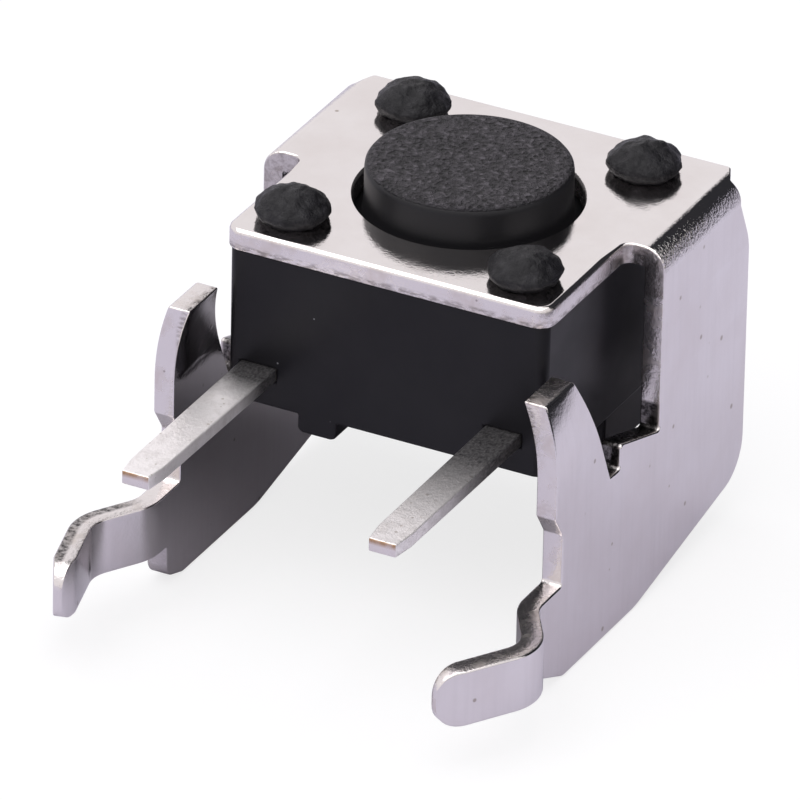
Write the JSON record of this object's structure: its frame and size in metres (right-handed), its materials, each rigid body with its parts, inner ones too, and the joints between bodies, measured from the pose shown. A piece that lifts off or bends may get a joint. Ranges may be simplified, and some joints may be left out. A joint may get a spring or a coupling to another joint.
{
  "type": "tactile push button switch",
  "caption": "Right-angle tactile push button switch with a round button and a folded metal cover that forms a mounting bracket with snap-in legs.",
  "frame": {"origin": "on the button's axis, in the outer face of the metal cover", "axes": "+Z along the button's axis, out of the cover, so the button is pressed along -Z; -Y towards the circuit board, where the terminals and the snap legs point; +X to the right, across the two wings"},
  "size_m": [0.0086, 0.0105, 0.0069],
  "materials": {
    "moulding": "semi-gloss",
    "plated_sheet": "tin-plated",
    "button": "matte, fine grain",
    "spring_sheet": "silver-plated",
    "terminal_metal": "tin-plated"
  },
  "bodies": {
    "switch_body": {"base": "moulding", "cover": "plated_sheet", "terminal_left": "terminal_metal", "terminal_right": "terminal_metal", "contact_dome": "spring_sheet"},
    "button": {"plunger": "button"}
  },
  "joints": [
    {"name": "button_press", "type": "slide", "parent": "switch_body", "child": "button", "axis": [0, 0, -1], "range_m": [0, 0.00025], "stiffness_N_per_m": 6000, "springref_m": -0.00002, "deforming": ["contact_dome"]}
  ]
}
